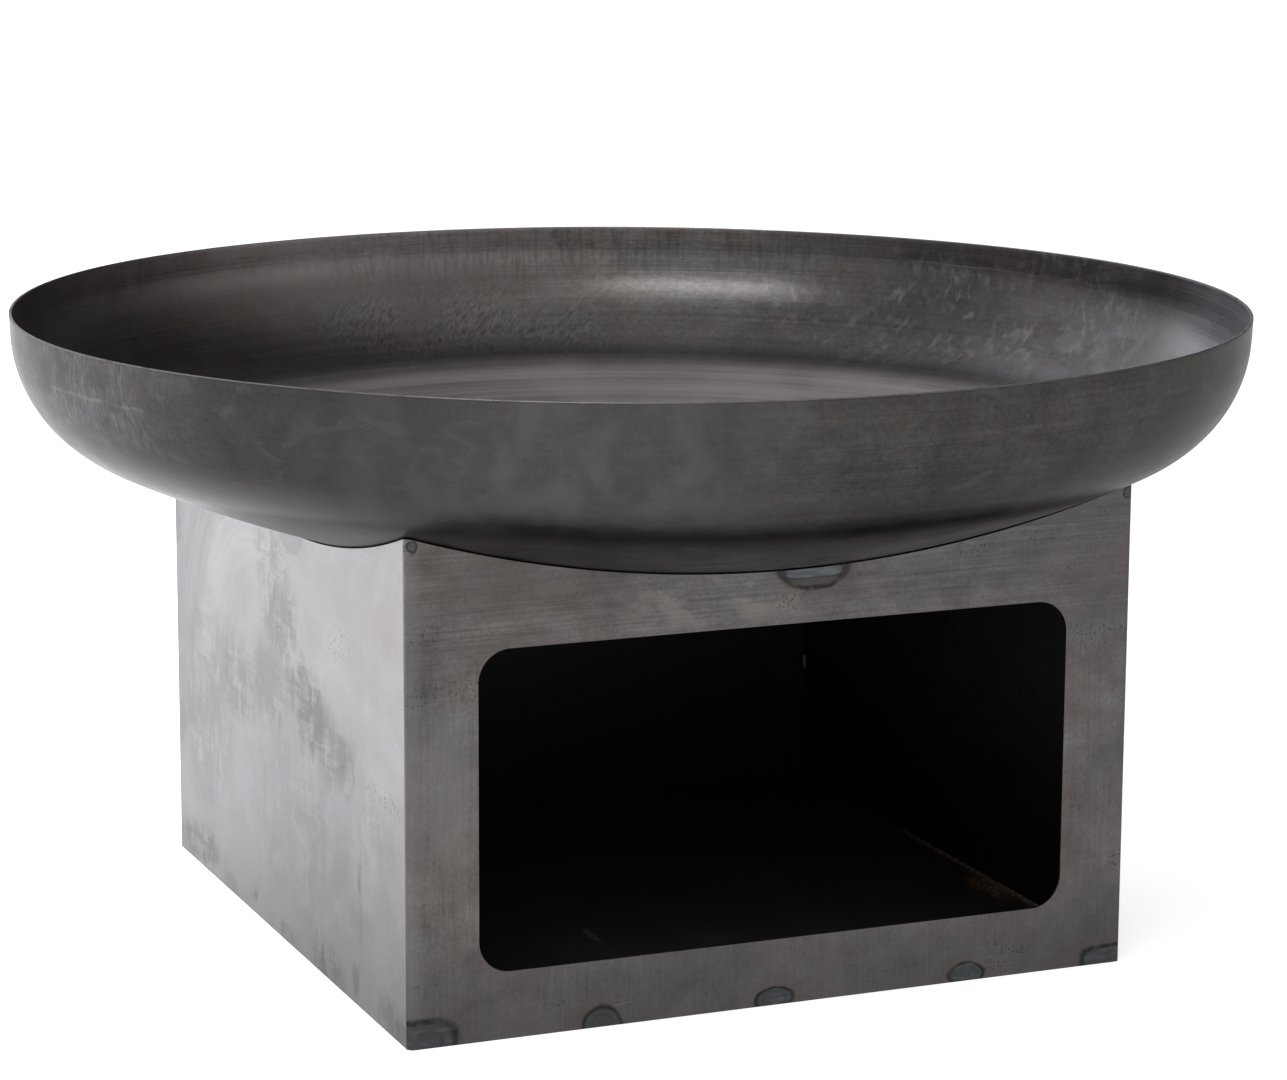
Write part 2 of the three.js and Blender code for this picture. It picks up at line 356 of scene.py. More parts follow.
def make_plate(name, points, outward, thickness, bevel, materials):
    """A flat plate from the outline of the face that looks outwards."""
    builder = bmesh.new()
    builder.faces.new(closed_loop(builder, points)[0])
    plate = new_object(name, builder, materials)
    if plate.data.polygons[0].normal.dot(outward) < 0:
        plate.data.flip_normals()
    thicken(plate, thickness, bevel)
    return plate


def make_back_sheet(outer_steel, inner_steel, edge_steel):
    half = INSIDE + SEAM_OVERLAP
    outline = [(-half, 0)] + arched_outline(-half, half) + [(half, 0)]
    points = [Vector((x, BASE_HALF - BACK_STEP, z)) for x, z in outline]
    materials = [outer_steel, inner_steel, edge_steel]
    sheet = make_plate("back_sheet", points, Vector((0, 1, 0)), SHEET, CUT_BEVEL, materials)
    on_base(sheet, "back_panel")


def make_floor_sheet(upper_steel, lower_steel, edge_steel):
    """The log store's floor, a rectangle with clipped corners."""
    half = INSIDE + SEAM_OVERLAP
    clip = half - CORNER_CLIP
    points = []
    for side in SIDES:
        turn = quarter_turn(side)
        points += [turn @ Vector((-clip, -half, FLOOR_TOP)), turn @ Vector((clip, -half, FLOOR_TOP))]
    materials = [upper_steel, lower_steel, edge_steel]
    sheet = make_plate("floor_sheet", points, Vector((0, 0, 1)), SHEET, CUT_BEVEL, materials)
    on_base(sheet, "floor_plate")


# ---- what carries the bowl

TAB_LEAN = math.asin((INSIDE - TAB_REACH / 2) / CROWN_RADIUS)
TAB_RUN = TAB_REACH / 2 * math.cos(TAB_LEAN)
TAB_Y = -INSIDE + FIT_GAP + TAB_THICKNESS * math.sin(TAB_LEAN) + TAB_RUN
TAB_TOP = underside(math.hypot(TAB_OFFSET - TAB_WIDTH / 2, TAB_Y)) - FIT_GAP
GUSSET_CORNER = INSIDE - FIT_GAP
GUSSET_TOP = underside((GUSSET_CORNER - GUSSET_LEG / 2) * math.sqrt(2)) - FIT_GAP


def make_tab(side, material):
    """A thick tab that leans with the bowl's crown.  Its inner corners are clipped."""
    half, reach = TAB_WIDTH / 2, TAB_REACH / 2
    clip = CORNER_CLIP
    outline = [
        (-half, -reach),
        (half, -reach),
        (half, reach - clip),
        (half - clip, reach),
        (clip - half, reach),
        (-half, reach - clip),
    ]
    lean = Matrix.Rotation(-TAB_LEAN, 3, "X")
    turn = quarter_turn(side)
    place = Vector((TAB_OFFSET, TAB_Y, TAB_TOP))
    points = [turn @ (place + lean @ Vector((x, y, 0))) for x, y in outline]
    up = turn @ lean @ Vector((0, 0, 1))
    tab = make_plate("tab_" + side, points, up, TAB_THICKNESS, 0.5 * MM, 3 * [material])
    on_base(tab, "support_tab_" + side)


def make_gusset(corner, side, material):
    """A triangle in the corner to the left of a side."""
    far, near = -GUSSET_CORNER, GUSSET_LEG - GUSSET_CORNER
    outline = [(far + CORNER_CLIP, far), (near, far), (far, near), (far, far + CORNER_CLIP)]
    turn = quarter_turn(side)
    points = [turn @ Vector((x, y, GUSSET_TOP)) for x, y in outline]
    up = Vector((0, 0, 1))
    gusset = make_plate("gusset_" + corner, points, up, GUSSET_THICKNESS, 0.4 * MM, 3 * [material])
    on_base(gusset, "corner_gusset_" + corner)


# ---- welds

def make_bead(name, root, first, second, length, material, node):
    """A weld bead in a corner: it bulges between two legs, tapers at both ends and is rippled."""
    along = first.cross(second).normalized()
    steps, arc_steps = 44, 8
    ripples = length / BEAD_RIPPLE
    builder = bmesh.new()
    rings = []
    for i in range(steps + 1):
        t = i / steps
        ripple = 1 + BEAD_RIPPLE_DEPTH * abs(math.sin(math.pi * ripples * t + 0.4 * math.sin(9 * t)))
        leg = TACK_LEG * (BEAD_END + BEAD_SWELL * math.sqrt(math.sin(math.pi * t))) * ripple
        start = root + along * (length * (t - 0.5))
        ring = [builder.verts.new(start)]
        for k in range(arc_steps + 1):
            angle = math.pi / 2 * k / arc_steps
            bulge = leg * (1 - 0.1 * math.sin(2 * angle))
            toe = first * (bulge * math.cos(angle)) + second * (bulge * math.sin(angle))
            ring.append(builder.verts.new(start + toe))
        rings.append(ring)
    bridge(builder, rings)
    builder.faces.new(rings[0])
    builder.faces.new(rings[-1])
    bead = new_object(name, builder, [material])
    shade(bead, 50)
    on_base(bead, node)


def make_floor_beads(side, material):
    """The tacks under the floor plate, at the places of their nodes."""
    turn = quarter_turn(side)
    inwards, down = turn @ Vector((0, 1, 0)), Vector((0, 0, -1))
    for i in range(1, 6):
        node = f"floor_tack_{side}_{i}"
        x = (turn.transposed() @ middle_of(node)).x
        root = turn @ Vector((x, -INSIDE + FIT_GAP, FLOOR_TOP - SHEET - FIT_GAP))
        make_bead(f"floor_bead_{side}_{i}", root, inwards, down, TACK_LENGTH, material, node)


def make_tab_bead(side, material):
    turn = quarter_turn(side)
    under = turn @ Vector((0, math.cos(TAB_LEAN), -math.sin(TAB_LEAN)))
    rise = TAB_RUN * math.tan(TAB_LEAN) - TAB_THICKNESS / math.cos(TAB_LEAN)
    root = turn @ Vector((TAB_OFFSET, -INSIDE + FIT_GAP, TAB_TOP + rise - 2 * FIT_GAP))
    down = Vector((0, 0, -1))
    make_bead("tab_bead_" + side, root, under, down, TAB_WELD_LENGTH, material, "tab_weld_" + side)


def make_seam_beads(hand, sign, material):
    """The tacks in a rear corner, between the back panel and a side."""
    sideways, forwards = Vector((-sign, 0, 0)), Vector((0, -1, 0))
    for i in (1, 2):
        node = f"seam_tack_{hand}_{i}"
        root = Vector((sign * (INSIDE - FIT_GAP), INSIDE - FIT_GAP, middle_of(node).z))
        make_bead(f"seam_bead_{hand}_{i}", root, sideways, forwards, TACK_LENGTH, material, node)


def make_spot(corner, material):
    """A round spot of weld on a gusset, a low dome with ripples around it."""
    node = "gusset_spot_" + corner
    low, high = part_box(node)
    radius, height = (high.x - low.x) / 2, high.z - low.z
    foot = middle_of(node)
    foot.z = low.z
    segments, steps = 28, 12
    builder = bmesh.new()
    rings = []
    for k in range(steps):
        angle = math.pi / 2 * k / steps
        ripple = 1 - 0.05 * math.sin(6 * angle) ** 2
        ring = []
        for i in range(segments):
            turn = 2 * math.pi * i / segments
            reach = radius * math.cos(angle) * ripple * (1 - 0.04 * math.sin(3 * turn) ** 2)
            out = Vector((reach * math.cos(turn), reach * math.sin(turn), height * math.sin(angle)))
            ring.append(builder.verts.new(foot + out))
        rings.append(ring)
    bridge(builder, rings)
    builder.faces.new(rings[0])
    top = builder.verts.new(foot + Vector((0, 0, height)))
    for i in range(segments):
        builder.faces.new((rings[-1][i], rings[-1][(i + 1) % segments], top))
    spot = new_object("spot_" + corner, builder, [material])
    shade(spot, 50)
    on_base(spot, node)


# ---- material nodes

def new_node(kind, inputs, tree=None, **settings):
    """Adds a node to a given tree, or else to that of the sockets, other nodes' outputs, in its inputs."""
    sockets = {key: value for key, value in inputs.items() if isinstance(value, bpy.types.NodeSocket)}
    tree = tree or next(iter(sockets.values())).id_data
    made = tree.nodes.new(kind)
    for name, value in settings.items():
        setattr(made, name, value)
    for key, value in inputs.items():
        if key in sockets:
            tree.links.new(value, made.inputs[key])
        else:
            made.inputs[key].default_value = value
    return made


def calculate(operation, first, *others):
    """Takes any number of values, and works through them two at a time."""
    for other in others:
        first = new_node("ShaderNodeMath", {0: first, 1: other}, operation=operation).outputs[0]
    return first


def add(*values):
    return calculate("ADD", *values)


def times(*values):
    return calculate("MULTIPLY", *values)


def most(*values):
    return calculate("MAXIMUM", *values)


def vector_math(operation, first, second=(0, 0, 0)):
    made = new_node("ShaderNodeVectorMath", {0: first, 1: second}, operation=operation)
    return made.outputs["Value" if operation in ("LENGTH", "DOT_PRODUCT") else "Vector"]


def dim(vector, share):
    """A colour or a place times a number."""
    made = new_node("ShaderNodeVectorMath", {0: vector, "Scale": share}, operation="SCALE")
    return made.outputs["Vector"]


def axes(vector):
    """The x, y and z of a vector."""
    return new_node("ShaderNodeSeparateXYZ", {0: vector}).outputs


def join(x, y, z):
    return new_node("ShaderNodeCombineXYZ", {0: x, 1: y, 2: z}).outputs[0]


def turned(place, angle, axis="Y_AXIS"):
    """A place turned by an angle about an axis."""
    turn = {"Vector": place, "Angle": angle}
    return new_node("ShaderNodeVectorRotate", turn, rotation_type=axis).outputs["Vector"]


def fade(value, low, high, top=1.0):
    """Rises smoothly from 0 where the value is low to top where it is high."""
    limits = {"Value": value, "From Min": low, "From Max": high, "To Max": top}
    return new_node("ShaderNodeMapRange", limits, interpolation_type="SMOOTHSTEP").outputs["Result"]


def band(value, start, full, wane, end):
    """1 from full to wane, and fading to 0 at start and end."""
    return times(fade(value, start, full), fade(value, end, wane))


def noise(place, size, detail=3.0, distortion=0.0, offset=0.0):
    """Noise with features of a size, or of one along each axis.  It is about 0.5 on average."""
    sizes = (size, size, size) if isinstance(size, (int, float)) else size
    scaled = vector_math("MULTIPLY", place, [1 / s for s in sizes])
    if offset:
        scaled = vector_math("ADD", scaled, (offset, 2 * offset, -offset))
    inputs = {"Vector": scaled, "Scale": 1.0, "Detail": detail, "Distortion": distortion}
    return new_node("ShaderNodeTexNoise", inputs).outputs["Fac"]


def warped(place, size, reach):
    """A place pushed about by noise of a size, by up to a reach."""
    inputs = {"Vector": dim(place, 1 / size), "Scale": 1.0, "Detail": 3.0}
    push = new_node("ShaderNodeTexNoise", inputs).outputs["Color"]
    centred = vector_math("SUBTRACT", push, (0.5, 0.5, 0.5))
    return vector_math("ADD", place, dim(centred, 2 * reach))


def specks(place, spacing, radius):
    """1 in round specks of a radius, one to each cell of a spacing, and 0 between them."""
    cells = new_node("ShaderNodeTexVoronoi", {"Vector": dim(place, 1 / spacing), "Scale": 1.0})
    return fade(cells.outputs["Distance"], radius / spacing, 0.5 * radius / spacing)


def blob(place, middle, radii, square=False):
    """The distance from a middle as a share of the radii along the axes.  Square, it has corners."""
    apart = vector_math("SUBTRACT", place, middle)
    shares = vector_math("MULTIPLY", apart, [1 / r if r else 0 for r in radii])
    if not square:
        return vector_math("LENGTH", shares)
    squares = vector_math("MULTIPLY", shares, shares)
    return calculate("POWER", vector_math("LENGTH", squares), 0.5)


def vary(*sources):
    """A level around 1 that each (noise, amount) makes up to the amount stronger or weaker."""
    return times(*[add(1 - amount, times(source, 2 * amount)) for source, amount in sources])


def mix(share, first, second):
    """A colour between two."""
    inputs = {"Factor": share}
    for key, colour in ((6, first), (7, second)):
        inputs[key] = colour if isinstance(colour, bpy.types.NodeSocket) else (*colour, 1)
    return new_node("ShaderNodeMix", inputs, data_type="RGBA").outputs[2]


class Skin:
    """A material made of nodes.  Its colour is painted on in layers.  Places in it are in millimetres."""

    def __init__(self, name, metallic=1.0, edge_tint=1.0):
        """The edge tint dulls the glare that clean metal has at grazing angles and raw steel hasn't."""
        self.material = bpy.data.materials.new(name)
        self.material.use_nodes = True
        self.tree = self.material.node_tree
        self.shader = self.tree.nodes["Principled BSDF"]
        self.shader.inputs["Metallic"].default_value = metallic
        self.shader.inputs["Specular Tint"].default_value = (edge_tint, edge_tint, edge_tint, 1)
        self.place = dim(new_node("ShaderNodeTexCoord", {}, self.tree).outputs["Object"], 1 / MM)
        self.colour = None

    def paint(self, tone, *shares):
        """Covers the colour so far with a tone, as far as the product of the shares says."""
        self.colour = mix(times(*shares), self.colour, tone)

    def shade(self, *levels):
        """Makes the colour so far lighter or darker by the product of the levels."""
        self.colour = dim(self.colour, times(*levels))

    def link(self, value, name):
        self.tree.links.new(value, self.shader.inputs[name])

    def finish(self, roughness, rougher, heights, metallic=None):
        """Links the roughness, made rougher by (share, amount), and the bumps, (height, depth in mm)."""
        self.link(self.colour, "Base Color")
        self.link(add(roughness, *[times(share, amount) for share, amount in rougher]), "Roughness")
        if metallic:
            self.link(metallic, "Metallic")
        bump = {}
        for height, depth in heights:
            inputs = {"Height": height, "Distance": depth * MM, **bump}
            bump = {"Normal": new_node("ShaderNodeBump", inputs).outputs["Normal"]}
        self.link(bump["Normal"], "Normal")
        return self.material


# ---- sheet steel

# The heat marks that the welds inside leave outside, in millimetres.  A tack's is (half width, half
# height, height of its middle), and the others are (half width, half height).
TACK_MARKS = ((22, 17, 0), (12.5, 13, 0), (13, 7, 4.5), (12.5, 7.5, 4.5), (20, 12, 0))
TAB_MARK = (22.5, 13)
SEAM_MARK = (8, 14)
SPOT_MARK_RADIUS = 3.4
SPOT_MARK_INSET = 4.2
SPOT_MARK_Z = 304.6
CORNER_MARK_X = 200  # beyond this a tack's mark is further out than the tack, by CORNER_MARK_SHIFT
CORNER_MARK_SHIFT = 1.03
SQUARE_BELOW = 100  # a mark beyond CORNER_MARK_X and below this height is squarer

SHEET_ROUGHNESS = 0.28


def local_marks(side):
    """The heat marks on a side, each as ((x, z), (half width, half height)) in the side's own frame."""
    back = quarter_turn(side).transposed()
    marks = []
    for i, (half_width, half_height, z) in enumerate(TACK_MARKS, 1):
        x = (back @ middle_of(f"floor_tack_{side}_{i}")).x / MM
        if abs(x) > CORNER_MARK_X:
            x *= CORNER_MARK_SHIFT
        marks.append(((x, z), (half_width, half_height)))
    edge = edge_height(TAB_OFFSET, INSIDE) / MM
    marks.append(((TAB_OFFSET / MM, edge), TAB_MARK))
    hands = {"front": (), "back": ("left", "right")}.get(side, (side,))
    for hand in hands:
        for i in (1, 2):
            place = back @ middle_of(f"seam_tack_{hand}_{i}")
            marks.append(((place.x / MM, place.z / MM), SEAM_MARK))
    return marks


def add_heat_marks(skin, place, side, strength):
    """Welds inside show outside: a thin dark line round a grey-green middle, and a brown bloom.

    Returns how far a place is from them, 1 at their edges.
    """
    edge = warped(warped(place, 9, 1.6), 3, 0.4)
    fields = []
    for (x, z), (half_width, half_height) in local_marks(side):
        square = abs(x) > CORNER_MARK_X and z < SQUARE_BELOW
        fields.append(blob(edge, (x, 0, z), (half_width, 0, half_height), square))
    field = calculate("MINIMUM", *fields)
    uneven = fade(noise(place, 7, 3, 0.0, 1.9), 0.3, 0.6)
    skin.paint((0.062, 0.05, 0.045), fade(field, 2.4, 0.9), 0.3 * strength)
    streaks = fade(noise(place, (15, 15, 3), 4, 1.2), 0.45, 0.72)
    middle = mix(streaks, (0.04, 0.044, 0.046), (0.068, 0.077, 0.08))
    skin.paint(middle, fade(field, 1.0, 0.8, 0.8 * strength))
    inner_line = band(field, 0.5, 0.57, 0.62, 0.7)
    skin.paint((0.03, 0.03, 0.033), inner_line, uneven, 0.5 * strength)
    ring = band(field, 0.8, 0.93, 0.99, 1.16)
    skin.paint((0.021, 0.021, 0.021), ring, add(0.6, times(uneven, 0.4)), strength)
    return field


def add_spot_marks(skin, place):
    """A small grey burn with a dark rim in both top corners, where a gusset is welded on inside."""
    folded = vector_math("ABSOLUTE", warped(place, 5, 1.5))
    x = BASE_HALF / MM - SPOT_MARK_INSET
    field = blob(folded, (x, 0, SPOT_MARK_Z), (SPOT_MARK_RADIUS, 0, SPOT_MARK_RADIUS))
    skin.paint((0.056, 0.054, 0.056), fade(field, 1.15, 0.9, 0.7))
    ring = band(field, 0.55, 0.8, 0.95, 1.2)
    skin.paint((0.028, 0.027, 0.028), ring, 0.7)


def add_tab_print(skin, place):
    """The tab's own outline in its heat mark: a light bluish bar with a dark rim."""
    edge = edge_height(TAB_OFFSET, INSIDE) / MM
    middle = (TAB_OFFSET / MM, 0, edge - 2)
    bar = blob(place, middle, (TAB_WIDTH / MM / 2, 0, 3.6), square=True)
    bar = times(bar, bar)
    skin.paint((0.03, 0.027, 0.026), fade(bar, 2.2, 1.2, 0.5))
    tone = fade(noise(place, (14, 14, 2.4), 4), 0.3, 0.7)
    light = mix(tone, (0.066, 0.07, 0.077), (0.11, 0.12, 0.13))
    skin.paint(light, fade(bar, 1.1, 0.85, 0.85))
    strip = blob(place, (TAB_OFFSET / MM, 0, edge - 8), (19, 0, 2.4))
    skin.paint((0.07, 0.063, 0.055), fade(strip, 1.2, 0.5, 0.6))


def side_place(skin, side):
    """Places in a side's own frame: x to the right along it, y inwards and z up."""
    return turned(skin.place, -SIDES.index(side) * math.pi / 2, "Z_AXIS")


def paint_sheet(skin, place, tones, grain_share):
    """Cloudy hot-rolled sheet.  Returns what makes it rougher, and its fine rolling grain."""
    light, warm, cool = tones
    clouds = noise(place, (120, 120, 85), 5, 0.6)
    patches = noise(place, (46, 46, 34), 5, 0.4, 7.3)
    smudges = noise(place, (15, 15, 12), 4, 0.3, 1.3)
    skin.colour = mix(fade(clouds, 0.38, 0.6), light, warm)
    skin.paint(cool, fade(patches, 0.48, 0.68, 0.7))
    along = noise(place, (70, 70, 1.3), 3)
    across = noise(place, (1.3, 1.3, 45), 3)
    high = fade(axes(place)[2], 205, 245)
    grain = new_node("ShaderNodeMix", {"Factor": high, 2: across, 3: along}).outputs[0]
    depth = times(add(grain, -0.5), add(1.0, times(high, 0.6)))
    fine = noise(place, 2.4, 5)
    level = vary((clouds, 0.5), (patches, 0.6), (smudges, 0.32), (fine, 0.34))
    skin.shade(level, add(1.0, times(depth, 2 * grain_share)))
    return [(clouds, 0.1), (smudges, 0.08)], grain


def add_pits(skin, place):
    """Small dark pits, in clusters and in a band at one height all round."""
    z = axes(warped(place, 50, 6))[2]
    line = band(z, 205, 213, 219, 228)
    clusters = fade(noise(place, (46, 46, 26), 3, 0.0, 3.1), 0.56, 0.68)
    where = most(clusters, times(line, 0.8))
    pits = specks(warped(place, 3, 1.4), 2.7, 0.95)
    skin.paint((0.028, 0.024, 0.024), pits, where, 0.7)


def add_scratches(skin, place, share):
    """A few thin light scratches, long and nearly straight."""
    lines = noise(turned(place, 0.12), (85, 85, 1.3), 1, 0.0, 5.9)
    where = fade(noise(place, 70, 2, 0.0, 9.4), 0.5, 0.62)
    skin.paint((0.3, 0.29, 0.29), fade(lines, 0.73, 0.77), where, share)


def plain_side_steel(side):
    """The front, right or back sheet."""
    skin = Skin(side + "_sheet_steel", edge_tint=0.6)
    place = side_place(skin, side)
    tones = (0.115, 0.107, 0.106), (0.106, 0.094, 0.089), (0.093, 0.0905, 0.093)
    rougher, grain = paint_sheet(skin, place, tones, 0.26)
    x, _, z = axes(place)
    # Painted shade: darker towards the bottom, where the sheet mirrors the floor that the bowl shades.
    skin.paint((0.055, 0.053, 0.055), fade(z, 70, 25, 0.5))
    # Painted highlight: a lighter strip along the sheet's left end, where the bend catches the light.
    bend_highlight = fade(axes(warped(place, 40, 2))[0], -228, -236, 0.4)
    skin.paint((0.15, 0.148, 0.148), bend_highlight)
    # Painted light: a lighter pool beside the mouth's left side.
    jamb_light = blob(warped(place, 40, 8), (-216, 0, 150), (22, 0, 66))
    skin.paint((0.175, 0.165, 0.163), fade(jamb_light, 1.2, 0.3, 0.4))
    brushed = fade(blob(place, (-40, 0, 258), (105, 0, 22)), 1.2, 0.2)
    lights = fade(noise(place, (28, 28, 18), 3, 0.3, 2.2), 0.44, 0.62)
    skin.paint((0.19, 0.175, 0.162), brushed, lights, 0.55)
    corner = blob(warped(place, 50, 14), (-170, 0, 285), (60, 0, 34))
    skin.paint((0.07, 0.058, 0.053), fade(corner, 1.2, 0.3, 0.45))
    # Painted shade: darker towards the right end, more so near the top.
    far_end_shade = times(fade(x, 110, 225), add(0.23, fade(z, 200, 260, 0.2)))
    skin.paint((0.066, 0.062, 0.062), far_end_shade)
    add_pits(skin, place)
    add_scratches(skin, place, 0.4)
    field = add_heat_marks(skin, place, side, 1.0)
    add_tab_print(skin, place)
    if side != "right":
        add_spot_marks(skin, place)
    wave = noise(place, 120, 1)
    swell = fade(field, 1.0, 0.0)
    return skin.finish(SHEET_ROUGHNESS, rougher, [(wave, 0.8), (grain, 0.025), (swell, 0.12)])


# Smoky smudges of the left side, each as ((x, z), (half width, half height), how dark).
SMUDGES = (
    ((-28, 256), (30, 42), 0.5),
    ((-2, 214), (46, 34), 0.72),
    ((30, 176), (40, 26), 0.8),
    ((-100, 152), (58, 34), 0.6),
    ((-30, 166), (50, 34), 0.66),
    ((62, 162), (46, 30), 0.95),
    ((110, 148), (44, 24), 0.75),
    ((175, 118), (60, 30), 0.25),
    ((20, 84), (130, 70), 0.3),
    ((-175, 120), (80, 90), 0.4),
    ((-185, 14), (60, 18), 0.75),
    ((-66, 12), (9, 4), 1.0),
    ((0, 7), (9, 8), 0.7),
    ((84, 12), (30, 14), 1.0),
    ((142, 18), (8, 14), 0.6),
    ((152, 84), (5, 17), 0.9),
    ((154, 52), (5, 24), 0.35),
    ((38, 78), (4, 22), 0.35),
    ((212, 8), (34, 16), 0.7),
)


def left_side_steel():
    """The left sheet: smoother and painted lighter as lit, with a smoky arc, smudges that run down,
    speckled trails and painted shade towards the bottom.
    """
    skin = Skin("left_sheet_steel")
    place = side_place(skin, "left")
    # Painted light: these tones and the lightening just below make this sheet lighter than the front, as
    # lit from the left.
    tones = (0.156, 0.152, 0.16), (0.15, 0.139, 0.142), (0.14, 0.14, 0.15)
    rougher, grain = paint_sheet(skin, place, tones, 0.1)
    skin.paint((0.16, 0.155, 0.162), 0.35)
    x, _, z = axes(place)
    smoke = warped(place, 60, 13)
    halo = blob(smoke, (0, 0, 140), (185, 0, 150))
    along_halo = join(times(halo, 34), times(x, 1 / 90), times(z, 1 / 90))
    strokes = fade(noise(along_halo, 1, 4), 0.36, 0.64)
    upper_left = times(fade(z, 130, 200), fade(x, 0, -70))
    outside = times(fade(halo, 0.98, 1.12), upper_left)
    skin.paint((0.088, 0.09, 0.103), outside, add(0.3, times(strokes, 0.45)))
    rim = times(band(halo, 0.6, 0.93, 0.96, 1.04), upper_left)
    skin.paint((0.225, 0.221, 0.23), rim, add(0.2, times(strokes, 0.35)))
    run = vector_math("MULTIPLY", place, (1, 1, 0.35))
    run = vector_math("MULTIPLY", warped(run, 9, 5), (1, 1, 1 / 0.35))
    smudges = []
    for (middle_x, middle_z), (half_width, half_height), darkness in SMUDGES:
        field = blob(run, (middle_x, 0, middle_z), (half_width, 0, half_height))
        smudges.append(fade(field, 1.25, 0.4, darkness))
    mottled = noise(place, (11, 11, 26), 6, 0.7, 6.6)
    streaky = noise(place, (30, 30, 5), 5, 0.8, 2.4)
    mottled = add(times(mottled, 0.65), times(streaky, 0.35))
    dark = times(most(*smudges), fade(mottled, 0.38, 0.57))
    skin.paint((0.08, 0.072, 0.077), dark)
    # Painted shade: darker and a little bluer towards the bottom, except at the front end.
    lower_shade = times(fade(axes(smoke)[2], 225, 150), fade(x, 190, 110))
    skin.paint(vector_math("MULTIPLY", skin.colour, (0.8, 0.805, 0.835)), lower_shade)
    wavy_z = axes(warped(place, 40, 5))[2]
    trail = times(band(wavy_z, 134, 142, 146, 153), fade(x, 20, 60))
    cluster = fade(blob(smoke, (125, 0, 220), (38, 0, 15)), 1.1, 0.5)
    column = fade(blob(smoke, (-12, 0, 236), (36, 0, 62)), 1.1, 0.4, 0.75)
    dots = specks(warped(place, 3, 1.6), 2.8, 1.1)
    skin.paint((0.05, 0.036, 0.04), dots, most(trail, cluster, column), 0.75)
    rosy = fade(noise(place, (40, 40, 30), 5, 0.8, 8.2), 0.5, 0.64)
    skin.paint((0.138, 0.118, 0.122), rosy, fade(z, 170, 240), fade(x, 20, 90, 0.45))
    rear = fade(axes(smoke)[0], -208, -238, 0.5)
    skin.paint((0.09, 0.082, 0.082), rear)
    add_scratches(skin, place, 0.25)
    add_heat_marks(skin, place, "left", 0.35)
    wave = noise(place, 110, 1)
    return skin.finish(SHEET_ROUGHNESS, rougher + [(dark, 0.06)], [(wave, 0.9), (grain, 0.015)])


def inner_sheet_steel():
    """The inside of the log store: dulled, rusting a little, and darker towards its floor as painted
    shade.
    """
    skin = Skin("inner_sheet_steel", 0.5, edge_tint=0.25)
    clouds = noise(skin.place, 70, 5, 0.4)
    rust = fade(noise(skin.place, 26, 5, 0.3, 6.1), 0.56, 0.72, 0.35)
    skin.colour = mix(clouds, (0.018, 0.018, 0.019), (0.04, 0.038, 0.037))
    skin.paint((0.035, 0.022, 0.016), rust)
    # Painted shade: darker towards the floor, deeper in the log store.
    skin.shade(add(0.25, fade(axes(skin.place)[2], 30, 190, 0.8)))
    grain = noise(skin.place, (0.9, 60, 60), 3)
    return skin.finish(0.42, [(clouds, 0.2)], [(clouds, 0.2), (grain, 0.02)])


def floor_sheet_steel():
    """The log store's floor.  Its seam along the right wall is rusty and grainy."""
    skin = Skin("floor_sheet_steel", edge_tint=0.2)
    place = skin.place
    clouds = noise(place, 60, 5, 0.5)
    skin.colour = mix(clouds, (0.02, 0.019, 0.02), (0.045, 0.042, 0.042))
    x, y, _ = axes(place)
    grains = noise(place, 2.0, 4, 0.4)
    gritty = fade(grains, 0.44, 0.6)
    seam = times(fade(x, INSIDE / MM - 9, INSIDE / MM - 1), fade(y, 110, 30))
    seam = times(seam, add(0.15, times(gritty, 0.6)))
    skin.paint((0.36, 0.28, 0.22), seam)
    patch = blob(warped(place, 14, 8), (227, -82, 8), (12, 34, 0))
    patch = times(fade(patch, 1.3, 0.3), gritty)
    skin.paint((0.26, 0.15, 0.085), patch, 0.8)
    streak = blob(warped(place, 8, 2), (-62, -88, 8), (3, 18, 0))
    skin.paint((0.13, 0.125, 0.12), fade(streak, 1.1, 0.6, 0.4))
    bare = times(calculate("SUBTRACT", 1.0, most(seam, patch)), 0.5)
    return skin.finish(0.42, [(clouds, 0.2)], [(clouds, 0.15), (grains, 0.03)], bare)


def cut_edge_steel(name, tone):
    """A cut edge: brighter than the skin, with fine cutting lines and a few burnt spots."""
    skin = Skin(name, edge_tint=0.6)
    burnt = fade(noise(skin.place, 11, 4), 0.5, 0.72, 0.7)
    lines = noise(skin.place, 0.5, 2)
    skin.colour = mix(burnt, (tone, 0.98 * tone, 0.95 * tone), (0.09, 0.075, 0.066))
    skin.shade(vary((lines, 0.25)))
    return skin.finish(0.28, [(burnt, 0.25)], [(lines, 0.03)])


# ---- bowl steel

